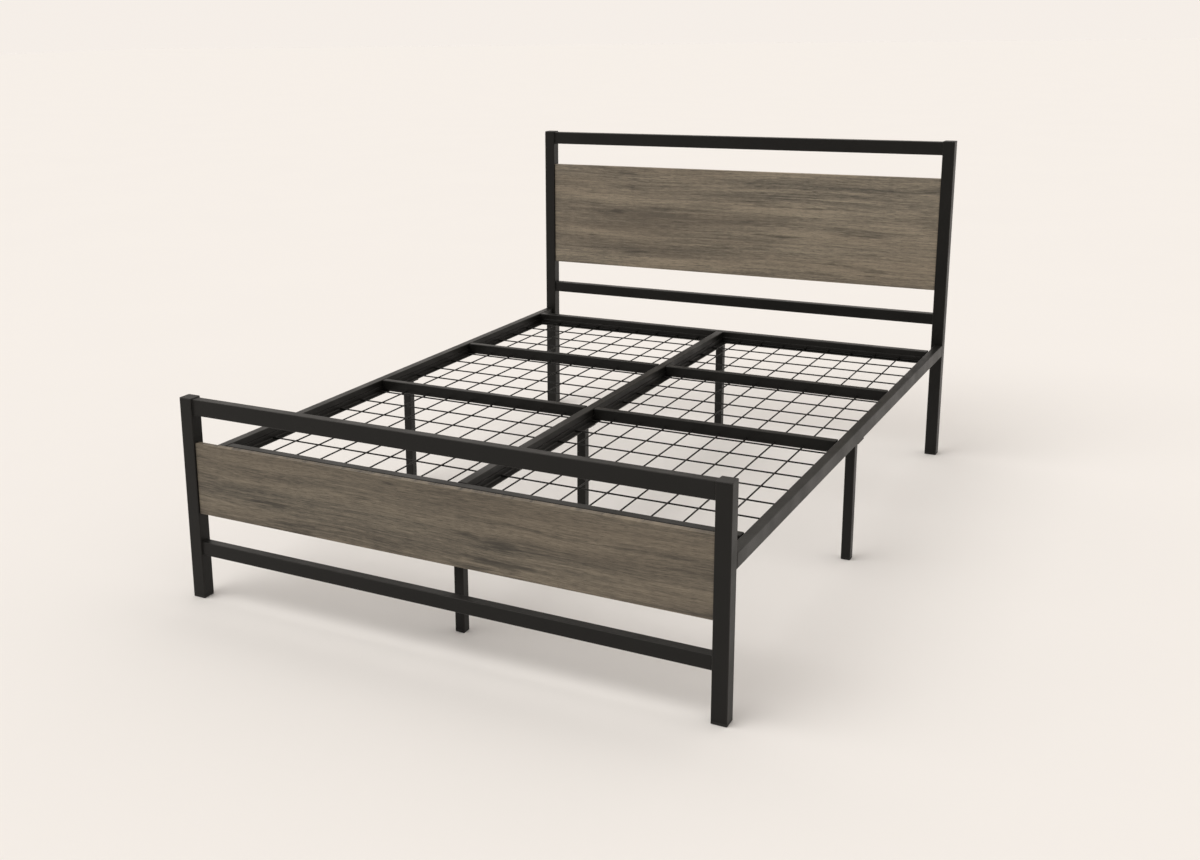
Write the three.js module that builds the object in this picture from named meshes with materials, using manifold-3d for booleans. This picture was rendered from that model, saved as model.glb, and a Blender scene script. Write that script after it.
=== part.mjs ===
// Full-size metal bed frame: square-tube headboard and footboard with wood-look panels,
// two side rails, a deck of cross bars and welded wire mesh, and nine legs on plastic glides.
// Millimetres, +Z up. The origin is on the floor under the middle of the frame.
// The footboard faces -Y, the headboard stands at +Y, and +X is the right side seen from the foot.
import * as THREE from 'three';
import { mergeVertices } from 'three/addons/utils/BufferGeometryUtils.js';
import Module from 'manifold-3d';

const wasm = await Module();
wasm.setup();

// ---- Driving dimensions ----
const FRAME_WIDTH = 1420;
const FRAME_LENGTH = 2010;
const HEADBOARD_HEIGHT = 1015;
const FOOTBOARD_HEIGHT = 526;
const DECK_HEIGHT = 367;

const CLEARANCE = 0.3; // between pieces that touch
const WELD_BITE = 0.3; // how far two welded pieces of one part sink into each other
const WALL = 1.5; // of every steel tube

const POST_SIDE = 36;
const TOP_RAIL = { width: 25, height: 41 };
const LOWER_RAIL = { width: 25, height: 35 };
const TOP_RAIL_DROP = 3; // below the top of the post
const HEAD_LOWER_RAIL_TOP = 467;
const FOOT_LOWER_RAIL_TOP = 151;

const PANEL_THICKNESS = 15;
const HEAD_PANEL = { bottom: 544, top: 898 };
const FOOT_PANEL = { bottom: 227, top: 411 };
const CLEAT = { leg: 20, thickness: 2, inset: 14 };

const SIDE_RAIL = { width: 25, height: 35 };
const CROSS_BAR = { width: 20, height: 32 };
const CENTRE_RAIL = { width: 25, height: 32 }; // and the head and foot cross rails
const LEDGE = { thickness: 2.5, rise: 17, reach: 17.5 }; // angle that carries the mesh

const WIRE_DIAMETER = 4;
const WIRE_SIDES = 6;
const WIRE_PITCH_X = 75;
const WIRE_PITCH_Y = 102;
const LONG_WIRES = 8; // in each panel
const CROSS_WIRES = [7, 5, 5]; // in each bay, from the foot to the head
const EDGE_WIRE_SETBACKS = [27, 27, 20]; // of each bay's last cross wire, from the middle of the bar or rail
const BAR_LINES = [-862, -150, 365, 880]; // the middles of the foot cross rail, two cross bars and head cross rail

const LEG_SIDE = 25;
const SIDE_LEG_INSET = 12; // of the leg's outer face from the rail's outer face
const SIDE_LEG_Y = -15;
const LEG_PLATE = { along: 60, across: 44, thickness: 3 };
const MIDDLE_LEG_SHIFT = -50; // of the middle centre leg, from the first cross bar

const TUBE_CORNER = 2.5;
const CORNER_STEPS = 3;
const CAP_THICKNESS = 3;
const GLIDE_HEIGHT = 6;
const PLUG_DEPTH = 14;

const HOOK_PLATE = { width: 24, height: 34, thickness: 3 };
const HOOK = { width: 3, height: 7, lip: 5, lipThickness: 3, slotPlay: 0.5, centres: [-9, 8] };
const BOLT = { diameter: 6, headAcross: 10, headHeight: 4, length: 14 };
const BOLT_HOLE_RADIUS = 3.4;
const BOLT_SIDES = 12;

// ---- Places worked out from them ----
const halfWidth = FRAME_WIDTH / 2;
const halfLength = FRAME_LENGTH / 2;
const postX = halfWidth - POST_SIDE / 2;
const postY = halfLength - POST_SIDE / 2;
const postInnerX = halfWidth - POST_SIDE;
const deckUnderside = DECK_HEIGHT - SIDE_RAIL.height;
const deckMiddle = deckUnderside + SIDE_RAIL.height / 2;
const railInnerX = halfWidth - SIDE_RAIL.width;
const ledgeFaceX = railInnerX - LEDGE.thickness;
const ledgeTop = deckUnderside + LEDGE.thickness;
const barMiddle = ledgeTop + CLEARANCE + CROSS_BAR.height / 2;
const hookPlateY = halfLength - POST_SIDE - CLEARANCE - HOOK_PLATE.thickness;
const sideRailLength = 2 * (hookPlateY - CLEARANCE);
const [footCrossRailY, firstBarY, secondBarY, headCrossRailY] = BAR_LINES;
const railMiddleX = halfWidth - SIDE_RAIL.width / 2;
const boltX = ledgeFaceX - LEDGE.reach / 2 - 1;

// ---- Materials ----
const blackSteel = { color: 0x2a2927, roughness: 0.5, metalness: 0.55 };
const blackWire = { color: 0x1b1b1a, roughness: 0.45, metalness: 0.6 };
const blackPlastic = { color: 0x161616, roughness: 0.65, metalness: 0.0 };
const greyOak = { color: 0x7d7161, roughness: 0.7, metalness: 0.0 };
const zincSteel = { color: 0x9c9c98, roughness: 0.35, metalness: 0.9 };

const bedFrame = new THREE.Group();

function addPiece(name, geometry, finish, [x, y, z] = [0, 0, 0]) {
  const mesh = new THREE.Mesh(geometry, new THREE.MeshStandardMaterial(finish));
  mesh.name = name;
  mesh.position.set(x, y, z);
  bedFrame.add(mesh);
}

// A piece made for the right side, and its mirror image on the left.
function addPair(name, geometry, finish) {
  addPiece(`${name}_right`, geometry, finish);
  addPiece(`${name}_left`, mirrorX(geometry), finish);
}

// ---- Solids ----
// Turns each triangle round as it mirrors, so that the faces still point out.
function mirrorX(geometry) {
  const mirrored = toGeometry(toSolid(geometry));
  const corners = mirrored.index.array;
  for (let i = 0; i < corners.length; i += 3) {
    [corners[i], corners[i + 1]] = [corners[i + 1], corners[i]];
  }
  mirrored.attributes.position.applyMatrix4(new THREE.Matrix4().makeScale(-1, 1, 1));
  return mirrored;
}

function toSolid(geometry) {
  const bare = geometry.clone();
  bare.deleteAttribute('normal');
  bare.deleteAttribute('uv');
  const merged = mergeVertices(bare, 1e-4);
  return new wasm.Manifold(new wasm.Mesh({
    numProp: 3,
    vertProperties: new Float32Array(merged.attributes.position.array),
    triVerts: new Uint32Array(merged.index.array),
  }));
}

function toGeometry(solid) {
  const mesh = solid.getMesh();
  const geometry = new THREE.BufferGeometry();
  geometry.setAttribute('position', new THREE.BufferAttribute(mesh.vertProperties, 3));
  geometry.setIndex(new THREE.BufferAttribute(mesh.triVerts, 1));
  return geometry;
}

function join(geometries) {
  return toGeometry(geometries.map(toSolid).reduce((whole, next) => whole.add(next)));
}

function cut(geometry, tools) {
  return toGeometry(tools.map(toSolid).reduce((whole, tool) => whole.subtract(tool), toSolid(geometry)));
}

// A box given by its middle and its size.
function box([x, y, z], [sx, sy, sz]) {
  return new THREE.BoxGeometry(sx, sy, sz).translate(x, y, z);
}

// A rectangle with rounded corners, centred on the origin.
function roundedRectangle(Outline, width, height, radius) {
  const outline = new Outline();
  const x = width / 2 - radius;
  const y = height / 2 - radius;
  [[x, y], [-x, y], [-x, -y], [x, -y]].forEach(([cx, cy], quarter) => {
    const start = (quarter * Math.PI) / 2;
    outline.absarc(cx, cy, radius, start, start + Math.PI / 2, false);
  });
  outline.closePath();
  return outline;
}

// An open-ended tube that stands on the origin, along +Z.
function tube(width, depth, length) {
  const outline = roundedRectangle(THREE.Shape, width, depth, TUBE_CORNER);
  outline.holes.push(roundedRectangle(THREE.Path, width - 2 * WALL, depth - 2 * WALL, TUBE_CORNER - WALL));
  return new THREE.ExtrudeGeometry(outline,
    { depth: length, bevelEnabled: false, curveSegments: CORNER_STEPS });
}

// The same tube lying along X or Y, from its start to its end, with the other two middles given.
function tubeAlongX([start, end], y, z, { width, height }) {
  return tube(height, width, end - start).rotateY(Math.PI / 2).translate(start, y, z);
}

function tubeAlongY([start, end], x, z, { width, height }) {
  return tube(width, height, end - start).rotateX(-Math.PI / 2).translate(x, start, z);
}

// An angle along +Y that carries the mesh: upright against x = 0, foot reaching towards -X.
function ledgeAlongY([start, end]) {
  const foot = -LEDGE.thickness - LEDGE.reach;
  const outline = new THREE.Shape([
    [WELD_BITE, 0], [WELD_BITE, LEDGE.rise], [-LEDGE.thickness, LEDGE.rise],
    [-LEDGE.thickness, LEDGE.thickness], [foot, LEDGE.thickness], [foot, 0],
  ].map(([x, z]) => new THREE.Vector2(x, z)));
  return new THREE.ExtrudeGeometry(outline, { depth: end - start, bevelEnabled: false })
    .rotateX(Math.PI / 2).translate(0, end, deckUnderside);
}

// A plate with rounded corners on top of a plug that pushes down into a square tube.
function plugWithPlate(side, plateThickness) {
  const plate = new THREE.ExtrudeGeometry(roundedRectangle(THREE.Shape, side, side, TUBE_CORNER),
    { depth: plateThickness, bevelEnabled: false, curveSegments: CORNER_STEPS });
  const plugSide = side - 2 * WALL - 2 * CLEARANCE;
  return join([plate, box([0, 0, (WELD_BITE - PLUG_DEPTH) / 2], [plugSide, plugSide, PLUG_DEPTH + WELD_BITE])]);
}

// ---- Headboard and footboard: end is -1 at the foot and 1 at the head ----
function postHeight(end) {
  return end < 0 ? FOOTBOARD_HEIGHT : HEADBOARD_HEIGHT;
}

// Each post has two slots in the wall that faces the bed, where a side rail hooks in.
function addPosts(prefix, end) {
  const bottom = GLIDE_HEIGHT + CLEARANCE;
  const top = postHeight(end) - CAP_THICKNESS - CLEARANCE;
  const y = end * postY;
  const slots = HOOK.centres.map((z) => box(
    [railMiddleX, end * (halfLength - POST_SIDE), deckMiddle + z - HOOK.lip / 2],
    [HOOK.width + 2 * HOOK.slotPlay, 4 * WALL, HOOK.height + HOOK.lip + 2 * HOOK.slotPlay]));
  addPair(`${prefix}_post`, cut(tube(POST_SIDE, POST_SIDE, top - bottom).translate(postX, y, bottom), slots),
    blackSteel);
  [['left', -postX], ['right', postX]].forEach(([side, x]) => {
    addPiece(`${prefix}_post_cap_${side}`, plugWithPlate(POST_SIDE, CAP_THICKNESS), blackPlastic,
      [x, y, postHeight(end) - CAP_THICKNESS]);
    addGlide(`${prefix}_post_glide_${side}`, POST_SIDE, x, y);
  });
}

function addGlide(name, side, x, y) {
  addPiece(name, plugWithPlate(side, GLIDE_HEIGHT).rotateX(Math.PI), blackPlastic, [x, y, GLIDE_HEIGHT]);
}

function addBoardRail(name, end, top, section) {
  const reach = postInnerX - CLEARANCE;
  addPiece(name, tubeAlongX([-reach, reach], end * postY, top - section.height / 2, section), blackSteel);
}

// The panel's face is level with the rails' faces that look towards the foot.
function addPanel(prefix, end, { bottom, top }) {
  const reach = postInnerX - CLEARANCE;
  const middle = (bottom + top) / 2;
  const faceY = end * postY - LOWER_RAIL.width / 2;
  const backY = faceY + PANEL_THICKNESS + CLEARANCE;
  const height = top - bottom - 2 * CLEAT.inset;
  const depth = end * postY + POST_SIDE / 2 - CLEARANCE - backY;
  addPiece(`${prefix}_wood_panel`, new THREE.BoxGeometry(2 * reach, PANEL_THICKNESS, top - bottom), greyOak,
    [0, faceY + PANEL_THICKNESS / 2, middle]);
  addPair(`${prefix}_panel_cleat`, join([
    box([reach - CLEAT.thickness / 2, backY + depth / 2, middle], [CLEAT.thickness, depth, height]),
    box([reach - CLEAT.leg / 2, backY + CLEAT.thickness / 2, middle], [CLEAT.leg, CLEAT.thickness, height]),
  ]), blackSteel);
}

function addBoard(prefix, end, lowerRailTop, panel) {
  addPosts(prefix, end);
  addBoardRail(`${prefix}_top_rail`, end, postHeight(end) - TOP_RAIL_DROP, TOP_RAIL);
  addBoardRail(`${prefix}_lower_rail`, end, lowerRailTop, LOWER_RAIL);
  addPanel(prefix, end, panel);
}

// ---- Deck frame ----
function boltHole(x, y) {
  return new THREE.CylinderGeometry(BOLT_HOLE_RADIUS, BOLT_HOLE_RADIUS, 8 * WALL, BOLT_SIDES)
    .rotateX(Math.PI / 2).translate(x, y, deckUnderside);
}

function addSideRails() {
  const rail = tubeAlongY([-sideRailLength / 2, sideRailLength / 2], railMiddleX, deckMiddle, SIDE_RAIL);
  const ledge = ledgeAlongY([footCrossRailY - CENTRE_RAIL.width / 2, headCrossRailY + CENTRE_RAIL.width / 2])
    .translate(railInnerX, 0, 0);
  addPair('side_rail', cut(join([rail, ledge]), BAR_LINES.map((y) => boltHole(boltX, y))), blackSteel);
}

// A plate on the rail's end, with two hooks that drop into the post's slots.
function addHookPlates(prefix, end) {
  const plate = box([railMiddleX, end * (hookPlateY + HOOK_PLATE.thickness / 2), deckMiddle],
    [HOOK_PLATE.width, HOOK_PLATE.thickness, HOOK_PLATE.height]);
  const reach = HOOK_PLATE.thickness / 2 + CLEARANCE + WALL + CLEARANCE + HOOK.lipThickness;
  const tipY = hookPlateY + HOOK_PLATE.thickness / 2 + reach;
  const hooks = HOOK.centres.flatMap((z) => [
    box([railMiddleX, end * (tipY - reach / 2), deckMiddle + z], [HOOK.width, reach, HOOK.height]),
    box([railMiddleX, end * (tipY - HOOK.lipThickness / 2), deckMiddle + z - HOOK.lip / 2],
      [HOOK.width, HOOK.lipThickness, HOOK.height + HOOK.lip]),
  ]);
  addPair(`${prefix}_hook_plate`, join([plate, ...hooks]), blackSteel);
}

// The two cross rails run from side rail to side rail and rest on the ledges at their ends.
// towardsBed is the side of the rail where its own ledge carries the mesh.
function addCrossRail(name, y, towardsBed) {
  const reach = ledgeFaceX - CLEARANCE;
  const start = -reach + LEDGE.reach;
  const rail = tubeAlongX([-reach, reach], y, barMiddle, CENTRE_RAIL);
  const ledge = ledgeAlongY([start, -start]).rotateZ((towardsBed * -Math.PI) / 2)
    .translate(0, y + (towardsBed * CENTRE_RAIL.width) / 2, 0);
  addPiece(name, cut(join([rail, ledge]), [-boltX, boltX].map((x) => boltHole(x, y))), blackSteel);
}

// The centre rail runs from cross rail to cross rail, with a ledge along both sides.
function addCentreRail() {
  const gap = CENTRE_RAIL.width / 2 + LEDGE.thickness + CLEARANCE;
  const span = [footCrossRailY + gap, headCrossRailY - gap];
  const ledgeSpan = [span[0] + LEDGE.reach, span[1] - LEDGE.reach];
  const ledge = ledgeAlongY(ledgeSpan).translate(-CENTRE_RAIL.width / 2, 0, 0);
  addPiece('centre_rail', join([tubeAlongY(span, 0, barMiddle, CENTRE_RAIL), ledge, mirrorX(ledge)]),
    blackSteel);
}

function addCrossBars() {
  const inner = CENTRE_RAIL.width / 2 + LEDGE.thickness + CLEARANCE;
  const outer = ledgeFaceX - CLEARANCE;
  [['first', firstBarY], ['second', secondBarY]].forEach(([order, y]) => {
    const bar = tubeAlongX([inner, outer], y, barMiddle, CROSS_BAR);
    addPair(`${order}_cross_bar`, cut(bar, [boltHole(boltX, y)]), blackSteel);
  });
}

// Each bolt goes up through the ledge into the end of a cross rail or bar.
function addDeckBolts() {
  const head = new THREE.CylinderGeometry(BOLT.headAcross / Math.sqrt(3), BOLT.headAcross / Math.sqrt(3),
    BOLT.headHeight, 6).rotateX(Math.PI / 2).translate(0, 0, -BOLT.headHeight / 2);
  const shank = new THREE.CylinderGeometry(BOLT.diameter / 2, BOLT.diameter / 2, BOLT.length + WELD_BITE,
    BOLT_SIDES).rotateX(Math.PI / 2).translate(0, 0, (BOLT.length - WELD_BITE) / 2);
  const bolt = join([head, shank]);
  BAR_LINES.forEach((y, line) => {
    [['left', -boltX], ['right', boltX]].forEach(([side, x]) => {
      addPiece(`deck_bolt_${line + 1}_${side}`, bolt, zincSteel, [x, y, deckUnderside - CLEARANCE]);
    });
  });
}

// ---- Wire mesh ----
function wire(length) {
  const radius = WIRE_DIAMETER / 2 / Math.cos(Math.PI / WIRE_SIDES);
  return new THREE.CylinderGeometry(radius, radius, length, WIRE_SIDES).rotateY(Math.PI / WIRE_SIDES);
}

// The cross wires rest on the ledges, set out from the bay's head end, and the long wires are welded on top.
function meshPanel(bay) {
  const crossZ = ledgeTop + CLEARANCE + WIRE_DIAMETER / 2;
  const longZ = crossZ + WIRE_DIAMETER - WELD_BITE;
  const crossStart = CENTRE_RAIL.width / 2 + LEDGE.thickness + CLEARANCE;
  const crossEnd = ledgeFaceX - CLEARANCE;
  const atFoot = bay === 0 ? CENTRE_RAIL.width / 2 + LEDGE.thickness : CROSS_BAR.width / 2;
  const atHead = bay === 2 ? CENTRE_RAIL.width / 2 + LEDGE.thickness : CROSS_BAR.width / 2;
  const longStart = BAR_LINES[bay] + atFoot + CLEARANCE;
  const longEnd = BAR_LINES[bay + 1] - atHead - CLEARANCE;
  const edgeWireY = BAR_LINES[bay + 1] - EDGE_WIRE_SETBACKS[bay];
  const crossWires = Array.from({ length: CROSS_WIRES[bay] }, (_, i) => wire(crossEnd - crossStart)
    .rotateZ(Math.PI / 2)
    .translate((crossStart + crossEnd) / 2, edgeWireY - i * WIRE_PITCH_Y, crossZ));
  const longWires = Array.from({ length: LONG_WIRES }, (_, i) => wire(longEnd - longStart)
    .translate((i + 1) * WIRE_PITCH_X, (longStart + longEnd) / 2, longZ));
  return join([...crossWires, ...longWires]);
}

function addMesh() {
  ['foot', 'middle', 'head'].forEach((name, bay) => addPair(`${name}_mesh`, meshPanel(bay), blackWire));
}

// ---- Legs under the deck ----
// A square tube with a welded top plate, whose plate lies under a rail.
function addLeg(name, [x, y], plateX, [plateWidth, plateLength]) {
  const bottom = GLIDE_HEIGHT + CLEARANCE;
  const top = deckUnderside - CLEARANCE - LEG_PLATE.thickness;
  const plate = box([plateX, y, top + LEG_PLATE.thickness / 2], [plateWidth, plateLength, LEG_PLATE.thickness]);
  const shaft = tube(LEG_SIDE, LEG_SIDE, top + WELD_BITE - bottom).translate(x, y, bottom);
  addPiece(name, join([shaft, plate]), blackSteel);
  addGlide(`${name}_glide`, LEG_SIDE, x, y);
}

function addLegs() {
  const sideLegX = halfWidth - SIDE_LEG_INSET - LEG_SIDE / 2;
  const sidePlateX = halfWidth - CLEARANCE - LEG_PLATE.across / 2;
  [['left', -1], ['right', 1]].forEach(([side, sign]) => {
    addLeg(`side_leg_${side}`, [sign * sideLegX, SIDE_LEG_Y], sign * sidePlateX, [LEG_PLATE.across, LEG_PLATE.along]);
  });
  [['foot', footCrossRailY], ['middle', firstBarY + MIDDLE_LEG_SHIFT], ['head', headCrossRailY]]
    .forEach(([place, y]) => {
      addLeg(`centre_leg_${place}`, [0, y], 0, [LEG_PLATE.along, LEG_PLATE.across]);
    });
}

addBoard('head', 1, HEAD_LOWER_RAIL_TOP, HEAD_PANEL);
addBoard('foot', -1, FOOT_LOWER_RAIL_TOP, FOOT_PANEL);
addSideRails();
addHookPlates('head', 1);
addHookPlates('foot', -1);
addCrossRail('foot_cross_rail', footCrossRailY, 1);
addCrossRail('head_cross_rail', headCrossRailY, -1);
addCentreRail();
addCrossBars();
addDeckBolts();
addMesh();
addLegs();

export default bedFrame;
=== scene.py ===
"""Looks of a full-size metal bed frame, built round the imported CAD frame. Metres, +Z up, footboard at -Y."""

import math
import random

import bmesh
import bpy
from mathutils import Matrix, Vector


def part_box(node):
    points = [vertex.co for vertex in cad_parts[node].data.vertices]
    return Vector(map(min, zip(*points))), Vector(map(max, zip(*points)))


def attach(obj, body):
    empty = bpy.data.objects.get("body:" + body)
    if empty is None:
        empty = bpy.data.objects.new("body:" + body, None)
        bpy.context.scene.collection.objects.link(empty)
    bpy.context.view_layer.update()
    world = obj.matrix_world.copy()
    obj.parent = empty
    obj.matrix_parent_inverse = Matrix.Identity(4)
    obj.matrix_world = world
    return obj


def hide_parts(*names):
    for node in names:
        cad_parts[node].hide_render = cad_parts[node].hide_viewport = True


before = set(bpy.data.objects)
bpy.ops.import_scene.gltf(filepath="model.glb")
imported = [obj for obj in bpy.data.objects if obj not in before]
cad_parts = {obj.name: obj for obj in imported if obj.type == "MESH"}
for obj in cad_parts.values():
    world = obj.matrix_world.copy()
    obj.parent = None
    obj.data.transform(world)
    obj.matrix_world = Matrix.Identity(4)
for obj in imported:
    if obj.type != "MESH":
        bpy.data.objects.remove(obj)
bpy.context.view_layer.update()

bl_info = {
    "name": "Metal Bed Frame",
    "version": (1, 0, 0),
    "blender": (4, 5, 0),
    "location": "3D View > Sidebar > Bed Frame",
    "description": "Builds a square-tube bed frame with wood panels, welded wire mesh and its studio",
    "category": "Add Mesh",
}

MM = 0.001
BODY = "root"
EDGE = "edge"  # how close a point is to the crest of a rounded edge, from 0 to 1

GAP = 0.3 * MM  # between pieces that touch
WALL = 1.5 * MM  # of every steel tube
CORNER_STEPS = 6
END_CHAMFER = 0.3 * MM
BEAD_SIDES = 8
RAIL_WIDTH = 25 * MM  # of side, cross and centre rails
LEDGE_THICKNESS = 2.5 * MM
LEDGE_RISE = 17 * MM
LEDGE_REACH = 17.5 * MM
STITCH_PITCH = 155 * MM  # of the weld beads along a ledge
STITCH_LENGTH = 22 * MM
WIRE_RADIUS = 2 * MM
WIRE_SIDES = 10
NUGGET = (2.5 * MM, 2.5 * MM, 1.3 * MM)  # half sizes of the lump where two wires are welded
CLEAT_THICKNESS = 2 * MM
CLEAT_LEG = 20 * MM
SCREW_STAGGER = 18 * MM  # of a cleat's screws into the post, above those into the panel
CAP_THICKNESS = 3 * MM
GLIDE_HEIGHT = 6 * MM
PLATE_CORNER = 2.5 * MM  # of caps and glides
PLATE_CHAMFER = 0.25 * MM
DOME_ROOM = 0.2 * MM  # of a cap's or glide's thickness, left to its shallow dome
DOME = ((0.72, 0.10 * MM), (0.38, 0.16 * MM), (0.1, 0.18 * MM))  # share of the rim, and lift
RIBS = 7  # on the plug of a cap or glide
RIB_HEIGHT = 0.8 * MM
HOOK_THICKNESS = 3 * MM  # of the hook plates and the hooks' lips
HOOK_PLATE_HALF = 17 * MM  # half the height of a hook plate
HOOK_HALF_WIDTH = 1.5 * MM
HOOK_PLACES = (-9 * MM, 8 * MM)  # above the middle of the side rail
HOOK_NECK = (3.5 * MM, 3.5 * MM)  # how far it reaches below and above the hook's own middle
HOOK_LIP = (8.5 * MM, 3.4 * MM)
HEX_ACROSS = 10 * MM  # the deck bolts' heads across their flats
THREAD_RADIUS = 3 * MM
THREAD_ROOT = 2.6 * MM
THREAD_TURNS = 12
LEG_SIDE = 25 * MM
LEG_PLATE_THICKNESS = 3 * MM
LEG_PLATE_CORNER = 5 * MM
PLATE_EASING = 0.3 * MM
LEG_SCREW_REACH = 22 * MM  # from the middle of the leg

FLOOR_REACH = 60.0
KEY_SPREAD, KEY_TURN = 50, (28, -24, 0)  # degrees
KEY_COLOUR = (1.0, 0.97, 0.93)
CAMERA_PLACE = (1.5428, -3.4087, 1.4154)
CAMERA_TURN = (0.5260, -0.2402, -0.0211)  # yaw, pitch and roll, in radians
CAMERA_SHIFT = (0.10, -0.0667)

# For each way a tube runs: the directions of its width, height and length.
RUNS = {
    "X": (Vector((0, 1, 0)), Vector((0, 0, 1)), Vector((1, 0, 0))),
    "Y": (Vector((1, 0, 0)), Vector((0, 0, 1)), Vector((0, 1, 0))),
    "Z": (Vector((1, 0, 0)), Vector((0, 1, 0)), Vector((0, 0, 1))),
}


# ---- Materials ----
def add_node(tree, kind, inputs=None, **settings):
    """Adds a shader node; an input is a number, a colour, or the socket to link from."""
    node = tree.nodes.new(kind)
    for key, value in settings.items():
        setattr(node, key, value)
    for key, value in (inputs or {}).items():
        socket = node.inputs[key]
        if isinstance(value, bpy.types.NodeSocket):
            tree.links.new(value, socket)
        else:
            socket.default_value = value
    return node


def start_material(name):
    material = bpy.data.materials.new(name)
    material.use_nodes = True
    tree = material.node_tree
    return material, tree, tree.nodes["Principled BSDF"]


def own_place(tree):
    """The piece's own coordinates, in metres."""
    return add_node(tree, "ShaderNodeTexCoord").outputs["Object"]


def mapped(tree, vector, scale, offset=(0, 0, 0)):
    """A place multiplied by scale, then moved by offset."""
    node = add_node(tree, "ShaderNodeMapping", {"Vector": vector, "Scale": scale, "Location": offset})
    return node.outputs[0]


def edge_crest(tree):
    """How close a point is to the crest of a rounded edge."""
    return add_node(tree, "ShaderNodeAttribute", attribute_name=EDGE).outputs["Fac"]


def noise(tree, vector, scale=1.0, detail=4.0, roughness=0.55):
    return add_node(tree, "ShaderNodeTexNoise", {
        "Vector": vector, "Scale": scale, "Detail": detail, "Roughness": roughness}).outputs[0]


def remap(tree, value, low, high, new_low, new_high, smooth=False):
    return add_node(tree, "ShaderNodeMapRange", {
        "Value": value, "From Min": low, "From Max": high, "To Min": new_low, "To Max": new_high},
        interpolation_type="SMOOTHSTEP" if smooth else "LINEAR").outputs[0]


def math_node(tree, operation, first, second):
    return add_node(tree, "ShaderNodeMath", {0: first, 1: second}, operation=operation).outputs[0]


def mix_colours(tree, factor, first, second):
    return add_node(tree, "ShaderNodeMix", {0: factor, 6: first, 7: second}, data_type="RGBA").outputs[2]


def ramp(tree, factor, stops):
    node = add_node(tree, "ShaderNodeValToRGB", {0: factor})
    elements = node.color_ramp.elements
    while len(elements) < len(stops):
        elements.new(0.5)
    for element, (place, colour) in zip(elements, stops):
        element.position = place
        element.color = (*colour, 1)
    return node.outputs[0]


def add_bump(tree, shader, layers):
    """Stacks bumps on the shader; a layer is (height, strength, distance in metres)."""
    normal = None
    for height, strength, distance in layers:
        inputs = {"Height": height, "Strength": strength, "Distance": distance}
        if normal is not None:
            inputs["Normal"] = normal
        normal = add_node(tree, "ShaderNodeBump", inputs).outputs[0]
    tree.links.new(normal, shader.inputs["Normal"])


def tint(colour, factor):
    return tuple(min(1.0, channel * factor) for channel in colour[:3])


def opaque(colour, factor=1.0):
    """A tint with the full alpha that colour sockets take."""
    return (*tint(colour, factor), 1)


def coated_steel(name, colour, roughness, peel):
    """Satin powder coat: fine orange peel, faint clouding, a smoother film on the edges, and painted sheen
    that lightens the edges in patches.
    """
    material, tree, shader = start_material(name)
    place = own_place(tree)
    cloud = noise(tree, place, 9.0, 5.0)
    speck = noise(tree, place, 420.0, 2.0)
    patches = remap(tree, noise(tree, place, 55.0, 6.0), 0.35, 0.7, 0.25, 1.0)
    edge_sheen = math_node(tree, "MULTIPLY", edge_crest(tree), patches)
    film = mix_colours(tree, remap(tree, cloud, 0.3, 0.7, 0, 1), opaque(colour, 0.82), opaque(colour, 1.18))
    film = mix_colours(tree, remap(tree, speck, 0.62, 0.8, 0, 0.5), film, opaque(colour, 1.9))
    # Painted sheen: the colour on the edge crests is lightened in patches, standing in for a highlight.
    film = mix_colours(tree, math_node(tree, "MULTIPLY", edge_sheen, 0.75), film, opaque(colour, 2.6))
    tree.links.new(film, shader.inputs["Base Color"])
    rough = remap(tree, cloud, 0.3, 0.7, roughness - 0.08, roughness + 0.08)
    rough = math_node(tree, "SUBTRACT", rough, math_node(tree, "MULTIPLY", edge_sheen, 0.1))
    tree.links.new(rough, shader.inputs["Roughness"])
    shader.inputs["Specular IOR Level"].default_value = 0.22
    grain = noise(tree, place, 900.0, 2.0, 0.5)
    waves = noise(tree, place, 160.0, 2.0, 0.5)
    add_bump(tree, shader, [(waves, 0.6 * peel, 0.25 * MM), (grain, 0.7 * peel, 0.12 * MM)])
    return material


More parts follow.
